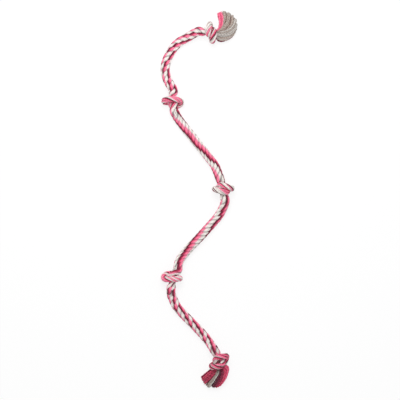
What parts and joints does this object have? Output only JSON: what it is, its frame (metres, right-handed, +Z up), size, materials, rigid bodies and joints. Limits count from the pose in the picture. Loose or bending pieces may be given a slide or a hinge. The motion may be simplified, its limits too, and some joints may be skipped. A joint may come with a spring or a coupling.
{
  "type": "rope dog toy",
  "caption": "Long laid cotton rope tug toy with overhand knots along it and a frayed yarn tassel at each end, lying in a wave.",
  "frame": {"origin": "on the floor under the middle of the toy's box, as it lies stretched out in a wave", "axes": "+Y along the toy's length towards its top end, +Z up from the floor"},
  "size_m": [0.3141, 1.5132, 0.0719],
  "materials": {
    "rope": "cotton-blend yarn in pink, maroon and off-white, matt",
    "top_tassel_yarn": "frayed off-white and beige yarn, matt",
    "bottom_tassel_yarn": "frayed maroon and crimson yarn, matt"
  },
  "bodies": {
    "top_tassel_part": {"top_tassel": "top_tassel_yarn"},
    "top_end_part": {"top_end_knot": "rope", "stretch_1_upper_half": "rope"},
    "upper_part": {"stretch_1_lower_half": "rope", "upper_knot": "rope", "stretch_2_upper_half": "rope"},
    "middle_part": {"stretch_2_lower_half": "rope", "middle_knot": "rope", "stretch_3_upper_half": "rope"},
    "lower_part": {"stretch_3_lower_half": "rope", "lower_knot": "rope", "stretch_4_upper_half": "rope"},
    "bottom_end_part": {"stretch_4_lower_half": "rope", "bottom_end_knot": "rope"},
    "bottom_tassel_part": {"bottom_tassel": "bottom_tassel_yarn"}
  },
  "joints": [
    {"name": "rope_bend_2", "type": "hinge", "parent": "middle_part", "child": "upper_part", "pos_m": [-0.008, 0.228, 0.0148], "axis": [0, 0, 1], "range_deg": [-60, 60]},
    {"name": "rope_bend_1", "type": "hinge", "parent": "upper_part", "child": "top_end_part", "pos_m": [-0.134, 0.541, 0.0148], "axis": [0, 0, 1], "range_deg": [-60, 60]},
    {"name": "top_tassel_swing", "type": "hinge", "parent": "top_end_part", "child": "top_tassel_part", "pos_m": [0.08778, 0.66382, 0.03182], "axis": [0, 0, 1], "range_deg": [-30, 30]},
    {"name": "rope_bend_3", "type": "hinge", "parent": "middle_part", "child": "lower_part", "pos_m": [0.024, -0.126, 0.0148], "axis": [0, 0, 1], "range_deg": [-60, 60]},
    {"name": "rope_bend_4", "type": "hinge", "parent": "lower_part", "child": "bottom_end_part", "pos_m": [-0.06, -0.46, 0.0148], "axis": [0, 0, 1], "range_deg": [-60, 60]},
    {"name": "bottom_tassel_swing", "type": "hinge", "parent": "bottom_end_part", "child": "bottom_tassel_part", "pos_m": [0.08, -0.689, 0.03182], "axis": [0, 0, 1], "range_deg": [-30, 30]}
  ]
}
